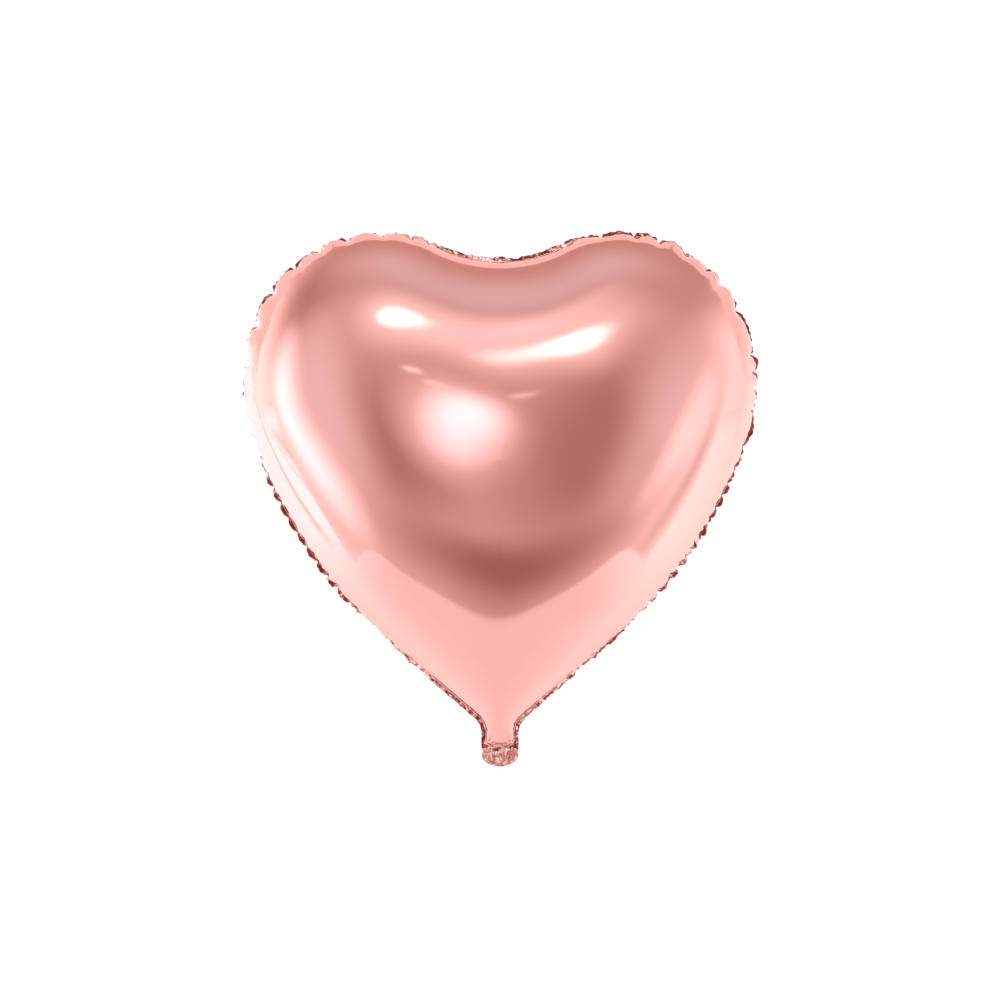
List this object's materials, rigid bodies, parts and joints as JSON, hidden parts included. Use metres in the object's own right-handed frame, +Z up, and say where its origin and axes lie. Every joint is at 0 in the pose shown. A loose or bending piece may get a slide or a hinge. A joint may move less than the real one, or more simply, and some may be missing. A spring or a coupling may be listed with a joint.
{
  "type": "heart-shaped foil balloon",
  "caption": "Inflated heart of two welded metallic foil panels with a puckered rim, and a flat neck with a self-sealing film valve and a short filling tail that folds.",
  "frame": {"origin": "middle of the crease under the neck, where a ribbon is tied, on the seam plane between the two foils", "axes": "+Z up from the neck to the lobes, +Y towards the back panel, so the front faces -Y, and +X to the right seen from the front"},
  "size_m": [0.5162, 0.25, 0.5345],
  "materials": {
    "foil": "rose gold metallised film, glossy",
    "weld": "rose gold metallised film, fused",
    "valve_film": "clear polyethylene film",
    "release_coat": "printed heat-resistant ink"
  },
  "bodies": {
    "balloon": {"front_panel": "foil", "back_panel": "foil", "perimeter_weld": "weld", "valve_film_front": "valve_film", "valve_film_back": "valve_film", "valve_weld_left": "valve_film", "valve_weld_right": "valve_film", "release_ink": "release_coat"},
    "tail": {"tail_front": "foil", "tail_back": "foil", "tail_weld_left": "weld", "tail_weld_right": "weld"},
    "lip_front": {"valve_lip_front": "valve_film"},
    "lip_back": {"valve_lip_back": "valve_film"}
  },
  "joints": [
    {"name": "tail_fold", "type": "hinge", "parent": "balloon", "child": "tail", "pos_m": [0, 0, 0], "axis": [1, 0, 0], "range_deg": [-110, 110], "stiffness_Nm_per_rad": 0.0001},
    {"name": "valve_lip_front", "type": "hinge", "parent": "balloon", "child": "lip_front", "pos_m": [0, -0.0002, 0.06155], "axis": [1, 0, 0], "range_deg": [0, 15], "stiffness_Nm_per_rad": 0.0005},
    {"name": "valve_lip_back", "type": "hinge", "parent": "balloon", "child": "lip_back", "pos_m": [0, 0.0002, 0.06155], "axis": [1, 0, 0], "range_deg": [-15, 0], "stiffness_Nm_per_rad": 0.0005}
  ],
  "couplings": [
    {"joint": "valve_lip_back", "follows": "valve_lip_front", "ratio": -1}
  ]
}
